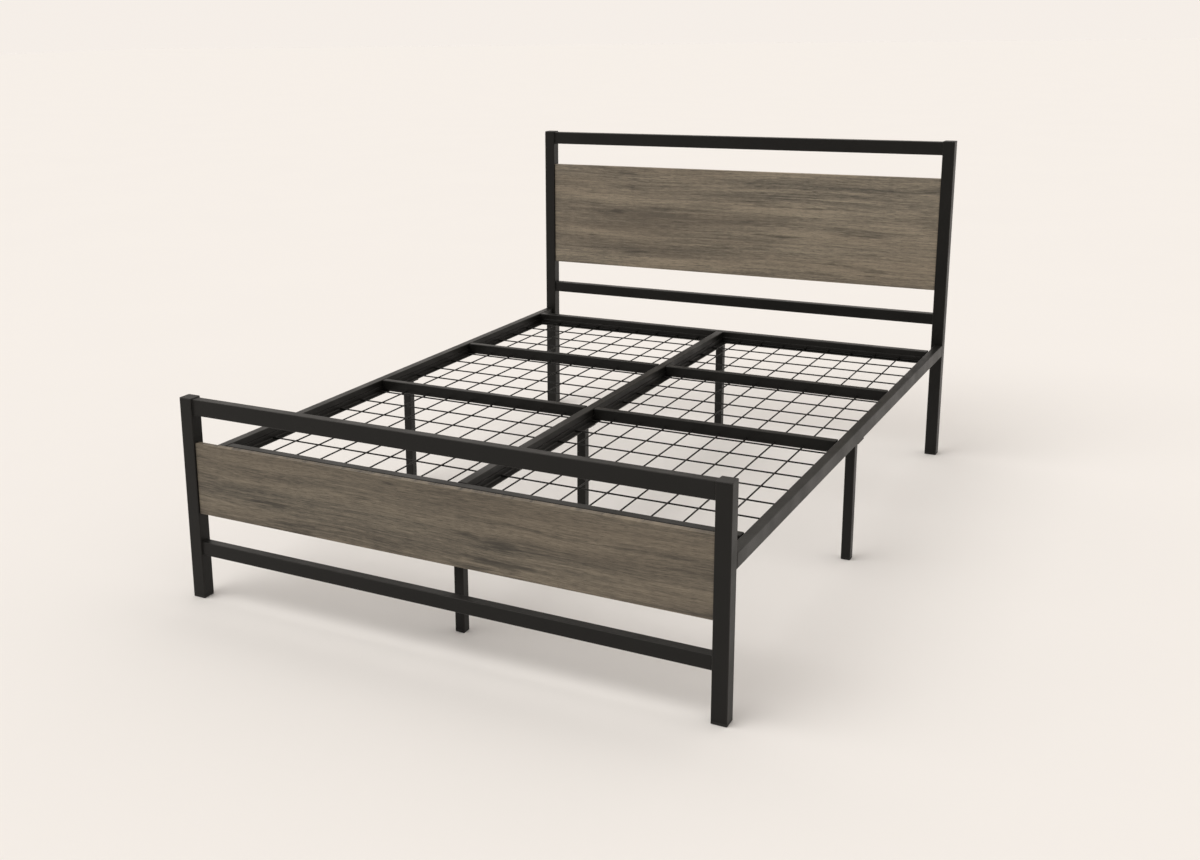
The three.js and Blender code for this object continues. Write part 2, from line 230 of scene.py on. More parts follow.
def oak_laminate(name, dark, light):
    """Weathered grey oak print along X: bands, streaks, fibres and pores, pale lines and dark flecks."""
    material, tree, shader = start_material(name)
    drift = noise(tree, mapped(tree, own_place(tree), (1.3, 1, 4)), 1.0, 2.0)
    rise = remap(tree, drift, 0.2, 0.8, -12 * MM, 12 * MM)
    lift = add_node(tree, "ShaderNodeCombineXYZ", {"Z": rise}).outputs[0]
    place = add_node(tree, "ShaderNodeVectorMath", {0: own_place(tree), 1: lift}, operation="ADD").outputs[0]

    def grain(scale, detail, roughness=0.55, offset=(0, 0, 0)):
        return noise(tree, mapped(tree, place, scale, offset), 1.0, detail, roughness)

    bands = grain((1.2, 1, 20), 3.0, 0.5)
    streaks = grain((3.2, 1, 150), 8.0, 0.78, (3, 0, 7))
    fibres = grain((26, 1, 430), 6.0, 0.75)
    pores = grain((45, 1, 1500), 4.0, 0.6)
    weighted = [math_node(tree, "MULTIPLY", layer, share)
                for layer, share in ((bands, 0.30), (streaks, 0.34), (fibres, 0.36))]
    body = math_node(tree, "ADD", weighted[0], math_node(tree, "ADD", weighted[1], weighted[2]))
    middle = tuple(0.55 * a + 0.45 * b for a, b in zip(dark, light))
    warm_light = (light[0] * 0.80, light[1] * 0.74, light[2] * 0.70, 1)
    warmth = remap(tree, grain((1.1, 1, 9), 2.0, offset=(5, 0, 2)), 0.35, 0.7, 0, 0.35)
    pale_lines = remap(tree, grain((1.8, 1, 210), 3.0, 0.6, (2, 0, 13)), 0.60, 0.70, 0, 0.6)
    flecks = remap(tree, grain((3.4, 1, 34), 5.0, 0.62, (11, 0, 4)), 0.54, 0.68, 0, 0.7, True)
    ticks = remap(tree, pores, 0.55, 0.63, 0, 0.7)
    # Painted highlight: the panel's rounded edges are lightened towards a paler oak.
    edge_highlight = math_node(tree, "MULTIPLY", edge_crest(tree), 0.5)
    print_colour = ramp(tree, body, [(0.43, dark), (0.50, middle), (0.57, light)])
    for amount, over in ((warmth, warm_light), (pale_lines, opaque(light, 1.25)),
                         (flecks, opaque(dark, 0.62)), (ticks, opaque(dark, 0.6)),
                         (edge_highlight, opaque(light, 1.35))):
        print_colour = mix_colours(tree, amount, print_colour, over)
    tree.links.new(print_colour, shader.inputs["Base Color"])
    tree.links.new(remap(tree, streaks, 0.3, 0.7, 0.62, 0.5), shader.inputs["Roughness"])
    shader.inputs["Specular IOR Level"].default_value = 0.3
    add_bump(tree, shader, [(streaks, 0.25, 0.1 * MM), (fibres, 0.35, 0.08 * MM), (pores, 0.5, 0.12 * MM)])
    return material


def moulded_plastic(name, colour):
    """Black plastic with a fine spark-eroded grain, polished edges, and painted highlight that lightens the
    edges.
    """
    material, tree, shader = start_material(name)
    place, edge = own_place(tree), edge_crest(tree)
    cloud = noise(tree, place, 40.0, 4.0)
    grain = noise(tree, place, 1500.0, 3.0, 0.6)
    base = mix_colours(tree, remap(tree, cloud, 0.3, 0.7, 0, 1), opaque(colour, 0.85), opaque(colour, 1.2))
    # Painted highlight: the edge crests are lightened towards a paler black.
    base = mix_colours(tree, math_node(tree, "MULTIPLY", edge, 0.5), base, opaque(colour, 2.2))
    tree.links.new(base, shader.inputs["Base Color"])
    polish = math_node(tree, "MULTIPLY", edge, 0.12)
    rough = math_node(tree, "SUBTRACT", remap(tree, grain, 0.3, 0.7, 0.5, 0.62), polish)
    tree.links.new(rough, shader.inputs["Roughness"])
    shader.inputs["Specular IOR Level"].default_value = 0.4
    add_bump(tree, shader, [(grain, 0.4, 0.05 * MM)])
    return material


def zinc_plate(name, colour):
    """Bright zinc on small hardware: cool clouding and fine turning marks."""
    material, tree, shader = start_material(name)
    cloud = noise(tree, own_place(tree), 160.0, 5.0)
    scratch = noise(tree, mapped(tree, own_place(tree), (1, 1, 14)), 600.0, 3.0)
    tone = ramp(tree, cloud, [(stop, tint(colour, factor))
                              for stop, factor in ((0.3, 0.72), (0.55, 1.0), (0.75, 1.16))])
    tree.links.new(tone, shader.inputs["Base Color"])
    tree.links.new(remap(tree, scratch, 0.3, 0.7, 0.28, 0.44), shader.inputs["Roughness"])
    shader.inputs["Metallic"].default_value = 1.0
    add_bump(tree, shader, [(scratch, 0.25, 0.03 * MM)])
    return material


def studio_floor(name, colour):
    """Pale matte floor with a barely visible mottle."""
    material, tree, shader = start_material(name)
    mottle = noise(tree, own_place(tree), 1.3, 4.0)
    share = remap(tree, mottle, 0.3, 0.7, 0, 1)
    shade = mix_colours(tree, share, opaque(colour, 0.996), opaque(colour, 1.004))
    tree.links.new(shade, shader.inputs["Base Color"])
    tree.links.new(remap(tree, mottle, 0.3, 0.7, 0.82, 0.9), shader.inputs["Roughness"])
    shader.inputs["Specular IOR Level"].default_value = 0.0
    return material


def finish_of(context, name):
    """One of the bed's materials, made the first time that it's asked for."""
    if name in bpy.data.materials:
        return bpy.data.materials[name]
    colours = context.scene.bed_finishes
    if name == "black_powder_coat":
        return coated_steel(name, colours.coat_colour, colours.coat_roughness, 1.0)
    if name == "black_wire_coat":
        return coated_steel(name, tint(colours.coat_colour, 0.5), colours.coat_roughness + 0.08, 0.6)
    # Painted light and shade: the headboard's oak is lightened and the footboard's oak darkened by these two
    # tones.
    for end, tone in (("head", colours.head_oak_painted_light), ("foot", colours.foot_oak_painted_shade)):
        for part, dark_share, light_share in (("laminate", 1, 1), ("edge_band", 1.1, 1.15)):
            if name == f"{end}_oak_{part}":
                return oak_laminate(name, tint(colours.oak_dark, dark_share * tone),
                                    tint(colours.oak_light, light_share * tone))
    if name == "black_moulded_plastic":
        return moulded_plastic(name, colours.plastic_colour)
    if name == "bright_zinc":
        return zinc_plate(name, colours.zinc_colour)
    raise ValueError(f"there is no finish named {name!r}")


# ---- Mesh building ----
def start_mesh():
    shape = bmesh.new()
    shape.verts.layers.float.new(EDGE)
    return shape


def rounded_outline(width, height, radius, steps=CORNER_STEPS):
    """Points round a rounded rectangle, each as (x, y, how near it is to the crest of its corner)."""
    points = []
    for quarter, (sx, sy) in enumerate(((1, 1), (-1, 1), (-1, -1), (1, -1))):
        cx, cy = sx * (width / 2 - radius), sy * (height / 2 - radius)
        for step in range(steps + 1):
            turn = (quarter + step / steps) * math.pi / 2
            crest = math.sin(math.pi * step / steps)
            points.append((cx + radius * math.cos(turn), cy + radius * math.sin(turn), crest))
    return points


def circle_outline(radius, sides, crest=0.0):
    turns = [2 * math.pi * i / sides for i in range(sides)]
    return [(radius * math.cos(turn), radius * math.sin(turn), crest) for turn in turns]


def hexagon_outline(across, sides=24, limit=math.inf):
    """Points round a hexagon given across its flats, kept inside a circle of radius limit."""
    points = []
    for i in range(sides):
        turn = 2 * math.pi * i / sides
        reach = across / 2 / math.cos((turn + math.pi / 6) % (math.pi / 3) - math.pi / 6)
        reach = min(reach, limit)
        points.append((reach * math.cos(turn), reach * math.sin(turn), 0.0))
    return points


def loft(shape, rings, run, origin, loop=False, caps=True):
    """Skins rings, each as (outline, distance along the run); loop joins the last ring to the first."""
    width, height, length = RUNS[run] if isinstance(run, str) else run
    layer = shape.verts.layers.float[EDGE]
    made = []
    for outline, distance in rings:
        row = []
        for x, y, crest in outline:
            vert = shape.verts.new(Vector(origin) + width * x + height * y + length * distance)
            vert[layer] = crest
            row.append(vert)
        made.append(row)
    count = len(made[0])
    pairs = list(zip(made, made[1:])) + ([(made[-1], made[0])] if loop else [])
    for low, high in pairs:
        for i in range(count):
            j = (i + 1) % count
            shape.faces.new((low[i], low[j], high[j], high[i]))
    if caps and not loop:
        shape.faces.new(made[0])
        shape.faces.new(made[-1])
    return made


def add_tube(shape, run, middle, size, span, radius):
    """An open-ended tube: middle is on its centre line, size its width and height, span its start and end."""
    width, height = size
    start, end = span
    outer = rounded_outline(width, height, radius)
    eased = [(x * (1 - END_CHAMFER / width), y * (1 - END_CHAMFER / height), 1.0) for x, y, _ in outer]
    bore = rounded_outline(width - 2 * WALL, height - 2 * WALL, max(radius - WALL, 0.5 * MM))
    inner = [(x, y, 0.0) for x, y, _ in bore]
    loft(shape, [(eased, start), (outer, start + END_CHAMFER), (outer, end - END_CHAMFER), (eased, end),
                 (inner, end), (inner, start)], run, middle, loop=True)


def add_block(shape, low, high, easing):
    """A box with eased edges, whose long edges run along its longest side."""
    low, high = Vector(low), Vector(high)
    size = high - low
    run = "XYZ"[max(range(3), key=lambda i: size[i])]
    width_axis, height_axis, length_axis = RUNS[run]
    width, height, length = size.dot(width_axis), size.dot(height_axis), size.dot(length_axis)
    middle = (low + high) / 2
    easing = min(easing, 0.45 * min(width, height))
    full = rounded_outline(width, height, easing, 3)
    small = [(x, y, 1.0) for x, y, _ in rounded_outline(width - easing, height - easing, easing / 2, 3)]
    loft(shape, [(small, -length / 2), (full, easing / 2 - length / 2),
                 (full, length / 2 - easing / 2), (small, length / 2)], run, middle)


def add_angle(shape, run, corner, upright, foot, span, thickness, easing=0.5 * MM):
    """An L-shaped bar. Upright and foot are vectors from the corner to the tips of its two legs."""
    start, end = span
    along = RUNS[run][2]
    up, out = upright.normalized(), foot.normalized()
    tall, wide = upright.length, foot.length
    inner_bend, outer_bend = 1.6 * thickness, 1.2 * thickness
    turns = [math.pi / 2 * i / 4 for i in range(5)]
    profile = [(0, tall - easing, 0), (easing, tall, 1),
               (thickness - easing, tall, 1), (thickness, tall - easing, 0)]
    profile += [(thickness + inner_bend * (1 - math.cos(turn)),
                 thickness + inner_bend * (1 - math.sin(turn)), 0) for turn in turns]
    profile += [(wide - easing, thickness, 0), (wide, thickness - easing, 1),
                (wide, easing, 1), (wide - easing, 0, 0)]
    profile += [(outer_bend * (1 - math.sin(turn)), outer_bend * (1 - math.cos(turn)), math.sin(2 * turn))
                for turn in turns]
    layer = shape.verts.layers.float[EDGE]
    rows = []
    for distance in (start, end):
        row = []
        for x, y, crest in profile:
            vert = shape.verts.new(Vector(corner) + out * x + up * y + along * distance)
            vert[layer] = crest
            row.append(vert)
        rows.append(row)
    for i in range(len(profile)):
        j = (i + 1) % len(profile)
        shape.faces.new((rows[0][i], rows[0][j], rows[1][j], rows[1][i]))
    shape.faces.new(rows[0])
    shape.faces.new(rows[1])


def add_bead(shape, path, across, radius, rng, closed=False):
    """A rippled weld bead along a path in one plane, whose normal is across."""
    layer = shape.verts.layers.float[EDGE]
    path = [Vector(point) for point in path]
    across = Vector(across).normalized()
    spots = []
    segments = list(zip(path, path[1:] + path[:1])) if closed else list(zip(path, path[1:]))
    for first, second in segments:
        steps = max(1, round((second - first).length / (0.42 * radius)))
        spots += [first.lerp(second, i / steps) for i in range(steps)]
    if not closed:
        spots.append(path[-1])
    count, travelled, rows = len(spots), 0.0, []
    for i, spot in enumerate(spots):
        after = spots[(i + 1) % count] if closed or i < count - 1 else spot
        before = spots[i - 1] if closed or i > 0 else spot
        tangent = (after - before).normalized()
        out = tangent.cross(across)
        travelled += (spot - spots[i - 1]).length if i else 0.0
        ripple = 1 + 0.13 * math.sin(travelled / radius * 4.2) + rng.uniform(-0.05, 0.05)
        taper = 1.0 if closed else min(1.0, 0.35 + min(i, count - 1 - i) * 0.25)
        row = []
        for side in range(BEAD_SIDES):
            turn = 2 * math.pi * side / BEAD_SIDES
            spoke = out * math.cos(turn) + across * math.sin(turn)
            vert = shape.verts.new(spot + spoke * radius * ripple * taper)
            vert[layer] = 0.35
            row.append(vert)
        rows.append(row)
    pairs = list(zip(rows, rows[1:])) + ([(rows[-1], rows[0])] if closed else [])
    for low, high in pairs:
        for side in range(BEAD_SIDES):
            other = (side + 1) % BEAD_SIDES
            shape.faces.new((low[side], low[other], high[other], high[side]))
    if not closed:
        shape.faces.new(rows[0])
        shape.faces.new(rows[-1])


def add_nugget(shape, middle, size, rng):
    """The small squashed lump that a spot weld leaves where two wires cross."""
    turn = Matrix.Rotation(rng.uniform(0, math.pi), 4, "Z")
    scale = Matrix.Diagonal((*[side * rng.uniform(0.92, 1.08) for side in size], 1))
    matrix = Matrix.Translation(middle) @ scale @ turn
    made = bmesh.ops.create_icosphere(shape, subdivisions=1, radius=1.0, matrix=matrix)
    layer = shape.verts.layers.float[EDGE]
    for vert in made["verts"]:
        vert[layer] = 0.4


def add_piece(context, name, shape, materials, replaced=(), sharp=40):
    """Makes a shaded object of the mesh, hangs it on the body that it rides on, gives it its finishes, and
    hides the CAD parts that it replaces.
    """
    bmesh.ops.recalc_face_normals(shape, faces=shape.faces)
    limit = math.radians(sharp)
    for face in shape.faces:
        face.smooth = True
    for edge in shape.edges:
        if len(edge.link_faces) == 2 and edge.calc_face_angle() > limit:
            edge.smooth = False
    mesh = bpy.data.meshes.new(name)
    shape.to_mesh(mesh)
    shape.free()
    for material in materials:
        mesh.materials.append(finish_of(context, material))
    piece = bpy.data.objects.new(name, mesh)
    context.scene.collection.objects.link(piece)
    weighted = piece.modifiers.new("flat_faces_stay_flat", "WEIGHTED_NORMAL")
    weighted.keep_sharp = True
    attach(piece, BODY)
    if replaced:
        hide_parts(*replaced)


def add_steel_piece(context, name, shape, replaced=()):
    add_piece(context, name, shape, ["black_powder_coat"], replaced)


# ---- Settings ----
class BedFinishes(bpy.types.PropertyGroup):
    """Colours and sheen of the bed's finishes."""
    coat_colour: bpy.props.FloatVectorProperty(
        name="Powder coat", description="Colour of the coated steel", subtype="COLOR", size=3, min=0, max=1,
        default=(0.0082, 0.0079, 0.0070))
    coat_roughness: bpy.props.FloatProperty(
        name="Coat roughness", description="From glossy to matt", subtype="FACTOR", min=0.2, max=0.9,
        default=0.42)
    oak_dark: bpy.props.FloatVectorProperty(
        name="Oak, dark grain", description="Darkest streaks of the laminate", subtype="COLOR", size=3,
        min=0, max=1, default=(0.070, 0.064, 0.054))
    oak_light: bpy.props.FloatVectorProperty(
        name="Oak, light grain", description="Lightest streaks of the laminate", subtype="COLOR", size=3,
        min=0, max=1, default=(0.270, 0.231, 0.174))
    # Painted light and shade: these two tones lighten the headboard's laminate and darken the footboard's,
    # standing in for how differently they are lit.
    head_oak_painted_light: bpy.props.FloatProperty(
        name="Headboard oak tone", description="Brightness of the headboard's laminate sheet",
        min=0.5, max=2, default=1.32)
    foot_oak_painted_shade: bpy.props.FloatProperty(
        name="Footboard oak tone", description="Brightness of the footboard's laminate sheet",
        min=0.5, max=2, default=0.87)
    plastic_colour: bpy.props.FloatVectorProperty(
        name="Plastic", description="Colour of caps and glides", subtype="COLOR", size=3, min=0, max=1,
        default=(0.0085, 0.0082, 0.0076))
    zinc_colour: bpy.props.FloatVectorProperty(
        name="Zinc", description="Colour of the plated bolts", subtype="COLOR", size=3, min=0, max=1,
        default=(0.56, 0.56, 0.54))


class BedDetails(bpy.types.PropertyGroup):
    """Sizes of the small details."""
    corner_radius: bpy.props.FloatProperty(
        name="Tube corner", description="Outer corner radius of the square tubes", unit="LENGTH",
        min=0.0016, max=0.006, default=0.0025)
    weld_radius: bpy.props.FloatProperty(
        name="Weld bead", description="Radius of the weld beads", unit="LENGTH",
        min=0.0005, max=0.004, default=0.0014)
    panel_easing: bpy.props.FloatProperty(
        name="Panel edge", description="Radius of the panels' edges", unit="LENGTH",
        min=0.0003, max=0.004, default=0.0010)
    screw_head: bpy.props.FloatProperty(
        name="Screw head", description="Diameter of the small screws' heads", unit="LENGTH",
        min=0.004, max=0.012, default=0.0080)


class BedStudio(bpy.types.PropertyGroup):
    """Floor, light and camera."""
    floor_colour: bpy.props.FloatVectorProperty(
        name="Floor", description="Colour of the floor", subtype="COLOR", size=3, min=0, max=1,
        default=(0.845, 0.835, 0.825))
    sky_colour: bpy.props.FloatVectorProperty(
        name="Surround", description="Colour of the light from all round", subtype="COLOR", size=3,
        min=0, max=1, default=(0.896, 0.838, 0.783))
    backdrop_colour: bpy.props.FloatVectorProperty(
        name="Backdrop", description="Colour seen past the floor's far edge", subtype="COLOR", size=3,
        min=0, max=1, default=(0.917, 0.859, 0.806))
    key_strength: bpy.props.FloatProperty(
        name="Key light", description="Strength of the soft light from above", min=0, max=20, default=1.42)
    front_share: bpy.props.FloatProperty(
        name="Front share", description="How bright the surround is in front of the bed, next to behind it",
        subtype="FACTOR", min=0, max=1, default=0.42)
    lens: bpy.props.FloatProperty(
        name="Lens", description="Focal length of the camera", unit="CAMERA",
        min=10, max=200, default=40.67)


# ---- Headboard and footboard ----
class BED_OT_posts(bpy.types.Operator):
    """Builds the four square-tube posts"""
    bl_idname = "bed.posts"
    bl_label = "Posts"

    def execute(self, context):
        details = context.scene.bed_details
        for end in ("head", "foot"):
            for side in ("left", "right"):
                node = f"{end}_post_{side}"
                low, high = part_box(node)
                middle, size = (low + high) / 2, high - low
                shape = start_mesh()
                add_tube(shape, "Z", (middle.x, middle.y, 0), (size.x, size.y), (low.z, high.z),
                         details.corner_radius)
                add_steel_piece(context, f"{end}_post_tube_{side}", shape, [node])
        return {"FINISHED"}


def add_plug_plate(shape, middle_x, middle_y, plate, plug, up):
    """A square plastic plate with a rounded rim, and a ribbed plug behind it. Plate and plug are
    (start, end, side); up is 1 where the plate faces up and -1 where it faces down."""
    start, end, side = plate
    thickness = abs(end - start)
    rim = min(1.6 * MM, 0.55 * thickness)
    rings = [(rounded_outline(side - 0.4 * MM, side - 0.4 * MM, PLATE_CORNER), 0),
             (rounded_outline(side, side, PLATE_CORNER), PLATE_CHAMFER),
             (rounded_outline(side, side, PLATE_CORNER), thickness - rim)]
    for step in range(1, 6):
        turn = step / 5 * math.pi / 2
        inset = rim * (1 - math.cos(turn))
        outline = [(x, y, math.sin(2 * turn)) for x, y, _ in
                   rounded_outline(side - 2 * inset, side - 2 * inset, max(PLATE_CORNER - inset, 0.6 * MM))]
        rings.append((outline, thickness - rim + rim * math.sin(turn) - 0.12 * MM * (1 - math.sin(turn))))
    inner_rim = rings[-1][0]
    for share, lift in DOME:
        rings.append(([(x * share, y * share, 0) for x, y, _ in inner_rim], thickness + lift))
    run = (Vector((1, 0, 0)), Vector((0, 1, 0)), Vector((0, 0, up)))
    loft(shape, rings, run, (middle_x, middle_y, start))
    plug_start, plug_end, plug_side = plug
    depth = abs(plug_end - plug_start)
    ribs = []
    for step in range(RIBS):
        wide = plug_side if step % 2 else plug_side - 2 * RIB_HEIGHT
        if step == RIBS - 1:
            wide -= 1.2 * MM
        for place in (step, step + 0.85):
            ribs.append((rounded_outline(wide, wide, 1 * MM, 3), depth * place / RIBS))
    loft(shape, ribs, (run[0], run[1], -run[2]), (middle_x, middle_y, plug_start))


class BED_OT_post_ends(bpy.types.Operator):
    """Builds the caps on the posts, and the glides under posts and legs"""
    bl_idname = "bed.post_ends"
    bl_label = "Caps and glides"

    def execute(self, context):
        caps = [f"{end}_post_cap_{side}" for end in ("head", "foot") for side in ("left", "right")]
        glides = [f"{end}_post_glide_{side}" for end in ("head", "foot") for side in ("left", "right")]
        glides += [f"side_leg_{side}_glide" for side in ("left", "right")]
        glides += [f"centre_leg_{place}_glide" for place in ("foot", "middle", "head")]
        for node in caps + glides:
            low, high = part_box(node)
            middle, side = (low + high) / 2, high.x - low.x
            plug_side = side - 2 * WALL - 2 * GAP
            if node in caps:
                seat, face, tip, up = high.z - CAP_THICKNESS, high.z - DOME_ROOM, low.z, 1
            else:
                seat, face, tip, up = low.z + GLIDE_HEIGHT, low.z + DOME_ROOM, high.z, -1
            shape = start_mesh()
            add_plug_plate(shape, middle.x, middle.y, (seat, face, side), (seat, tip, plug_side), up)
            add_piece(context, f"moulded_{node}", shape, ["black_moulded_plastic"], [node])
        return {"FINISHED"}


class BED_OT_board_rails(bpy.types.Operator):
    """Builds the top and lower rails of headboard and footboard, welded to their posts"""
    bl_idname = "bed.board_rails"
    bl_label = "Headboard and footboard rails"

    def execute(self, context):
        details = context.scene.bed_details
        rng = random.Random(11)
        for node in ("head_top_rail", "head_lower_rail", "foot_top_rail", "foot_lower_rail"):
            low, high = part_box(node)
            middle, size = (low + high) / 2, high - low
            shape = start_mesh()
            add_tube(shape, "X", (0, middle.y, middle.z), (size.y, size.z), (low.x, high.x),
                     details.corner_radius)
            outline = rounded_outline(size.y, size.z, details.corner_radius, 3)
            for end_x in (low.x, high.x):
                path = [(end_x, middle.y + y, middle.z + z) for y, z, _ in outline]
                add_bead(shape, path, (1, 0, 0), details.weld_radius, rng, closed=True)
            add_steel_piece(context, f"{node}_tube", shape, [node])
        return {"FINISHED"}


def add_panel_board(shape, low, high, easing):
    """A board in the XZ plane with rounded edges; its narrow sides get the second material."""
    middle, size = (low + high) / 2, high - low
    steps = 4
    rings = []
    for side in (-1, 1):
        turns = [i / steps for i in range(steps + 1)]
        for share in (turns if side < 0 else reversed(turns)):
            turn = share * math.pi / 2
            inset = easing * (1 - math.sin(turn))
            corner = max(1.2 * MM - inset, 0.3 * MM)
            outline = [(x, z, math.sin(2 * turn)) for x, z, _ in
                       rounded_outline(size.x - 2 * inset, size.z - 2 * inset, corner, 3)]
            rings.append((outline, side * (size.y / 2 - easing * (1 - math.cos(turn)))))
    run = (Vector((1, 0, 0)), Vector((0, 0, 1)), Vector((0, 1, 0)))
    loft(shape, rings, run, middle)
    shape.normal_update()
    for face in shape.faces:
        if abs(face.normal.y) < 0.5:
            face.material_index = 1


class BED_OT_wood_panels(bpy.types.Operator):
    """Builds the oak laminate panels of headboard and footboard"""
    bl_idname = "bed.wood_panels"
    bl_label = "Wood panels"

    def execute(self, context):
        for end in ("head", "foot"):
            node = f"{end}_wood_panel"
            low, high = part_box(node)
            shape = start_mesh()
            add_panel_board(shape, low, high, context.scene.bed_details.panel_easing)
            finishes = [f"{end}_oak_laminate", f"{end}_oak_edge_band"]
            add_piece(context, f"{end}_oak_panel", shape, finishes, [node], sharp=60)
        return {"FINISHED"}


def add_screw(shape, middle, out, diameter):
    """A low round head with a hexagon socket, seated at middle and facing out."""
    out = Vector(out).normalized()
    width = out.orthogonal().normalized()
    height = out.cross(width)
    radius = diameter / 2
    sides = 24
    crown = [(circle_outline(radius, sides, 0.2), 0), (circle_outline(radius, sides, 0.8), 0.18 * diameter)]
    for share in (0.25, 0.5, 0.75):
        turn = share * math.pi / 2
        crown.append((circle_outline(radius * (0.62 + 0.38 * math.cos(turn)), sides, 0.3),
                      (0.18 + 0.16 * math.sin(turn)) * diameter))
    crown.append((circle_outline(radius * 0.6, sides, 0.5), 0.34 * diameter))
    crown.append((hexagon_outline(0.42 * diameter, sides), 0.335 * diameter))
    crown.append((hexagon_outline(0.40 * diameter, sides), 0.14 * diameter))
    loft(shape, crown, (width, height, out), middle)


class BED_OT_panel_cleats(bpy.types.Operator):
    """Builds the angle cleats that hold the panels, and their screws"""
    bl_idname = "bed.panel_cleats"
    bl_label = "Panel cleats and screws"

    def execute(self, context):
        details = context.scene.bed_details
        for end, rows in (("head", 4), ("foot", 2)):
            screws = start_mesh()
            for side, sign in (("left", -1), ("right", 1)):
                node = f"{end}_panel_cleat_{side}"
                low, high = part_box(node)
                outer = high.x if sign > 0 else low.x
                shape = start_mesh()
                add_angle(shape, "Z", (outer, low.y, 0), Vector((0, high.y - low.y, 0)),
                          Vector((-sign * CLEAT_LEG, 0, 0)), (low.z, high.z), CLEAT_THICKNESS)
                add_steel_piece(context, f"{end}_panel_angle_{side}", shape, [node])
                panel_x, panel_y = outer - sign * 0.62 * CLEAT_LEG, low.y + CLEAT_THICKNESS
                post_x, post_y = outer - sign * CLEAT_THICKNESS, (low.y + high.y) / 2 + 2 * MM
                for row in range(rows):
                    z = low.z + (high.z - low.z) * (row + 0.5) / rows
                    add_screw(screws, (panel_x, panel_y, z), (0, 1, 0), details.screw_head)
                    add_screw(screws, (post_x, post_y, z + SCREW_STAGGER), (-sign, 0, 0), details.screw_head)
            add_steel_piece(context, f"{end}_panel_screws", screws)
        return {"FINISHED"}


# ---- Deck ----
def add_ledge(shape, run, corner, way, span, bead_radius, rng):
    """The angle that carries the mesh, with short welds to its rail. Corner is at the foot of the rail's
    face, and way points out of that face."""
    rise, along = Vector((0, 0, LEDGE_RISE)), RUNS[run][2]
    foot = Vector(way) * (LEDGE_THICKNESS + LEDGE_REACH)
    add_angle(shape, run, corner, rise, foot, span, LEDGE_THICKNESS)
    start, end = span
    place = start + STITCH_PITCH / 3
    while place + STITCH_LENGTH < end:
        weld = Vector(corner) + rise + along * place
        add_bead(shape, [weld, weld + along * STITCH_LENGTH], (0, 0, 1), bead_radius, rng)
        place += STITCH_PITCH


class BED_OT_side_rails(bpy.types.Operator):
    """Builds the two side rails, each with the ledge that carries the deck"""
    bl_idname = "bed.side_rails"
    bl_label = "Side rails"

    def execute(self, context):
        details = context.scene.bed_details
        rng = random.Random(23)
        foot_rail, head_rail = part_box("foot_cross_rail"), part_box("head_cross_rail")
        ledge_span = (foot_rail[0].y, head_rail[1].y)
        for side, sign in (("left", -1), ("right", 1)):
            node = f"side_rail_{side}"
            low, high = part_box(node)
            outer = high.x if sign > 0 else low.x
            inner = outer - sign * RAIL_WIDTH
            middle_z = (low.z + high.z) / 2
            shape = start_mesh()
            add_tube(shape, "Y", (outer - sign * RAIL_WIDTH / 2, 0, middle_z), (RAIL_WIDTH, high.z - low.z),
                     (low.y, high.y), details.corner_radius)
            add_ledge(shape, "Y", (inner, 0, low.z), (-sign, 0, 0), ledge_span, details.weld_radius, rng)
            add_steel_piece(context, f"side_rail_tube_{side}", shape, [node])
        return {"FINISHED"}


class BED_OT_hook_plates(bpy.types.Operator):
    """Builds the plates whose hooks drop into the posts"""
    bl_idname = "bed.hook_plates"
    bl_label = "Hook plates"

    def execute(self, context):
        details = context.scene.bed_details
        rng = random.Random(31)
        for end, way in (("head", 1), ("foot", -1)):
            for side in ("left", "right"):
                node = f"{end}_hook_plate_{side}"
                low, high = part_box(node)
                rail_low, rail_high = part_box(f"side_rail_{side}")
                middle_x, middle_z = (low.x + high.x) / 2, (rail_low.z + rail_high.z) / 2
                face, tip = (low.y, high.y) if way > 0 else (high.y, low.y)
                near, far = sorted((face, face + way * HOOK_THICKNESS))
                shape = start_mesh()
                add_block(shape, (low.x, near, middle_z - HOOK_PLATE_HALF),
                          (high.x, far, middle_z + HOOK_PLATE_HALF), 0.6 * MM)
                neck_start, lip_start = face + way * HOOK_THICKNESS * 0.5, tip - way * HOOK_THICKNESS
                for place in HOOK_PLACES:
                    z = middle_z + place
                    for start, (below, above) in ((neck_start, HOOK_NECK), (lip_start, HOOK_LIP)):
                        first, second = sorted((start, tip))
                        add_block(shape, (middle_x - HOOK_HALF_WIDTH, first, z - below),
                                  (middle_x + HOOK_HALF_WIDTH, second, z + above), 0.5 * MM)
                outline = rounded_outline(high.x - low.x - 1 * MM, 2 * HOOK_PLATE_HALF - 1 * MM, 2.5 * MM, 3)
                path = [(middle_x + x, face, middle_z + z) for x, z, _ in outline]
                add_bead(shape, path, (0, 1, 0), 0.7 * details.weld_radius, rng, closed=True)
                add_steel_piece(context, f"{end}_hook_bracket_{side}", shape, [node])
        return {"FINISHED"}


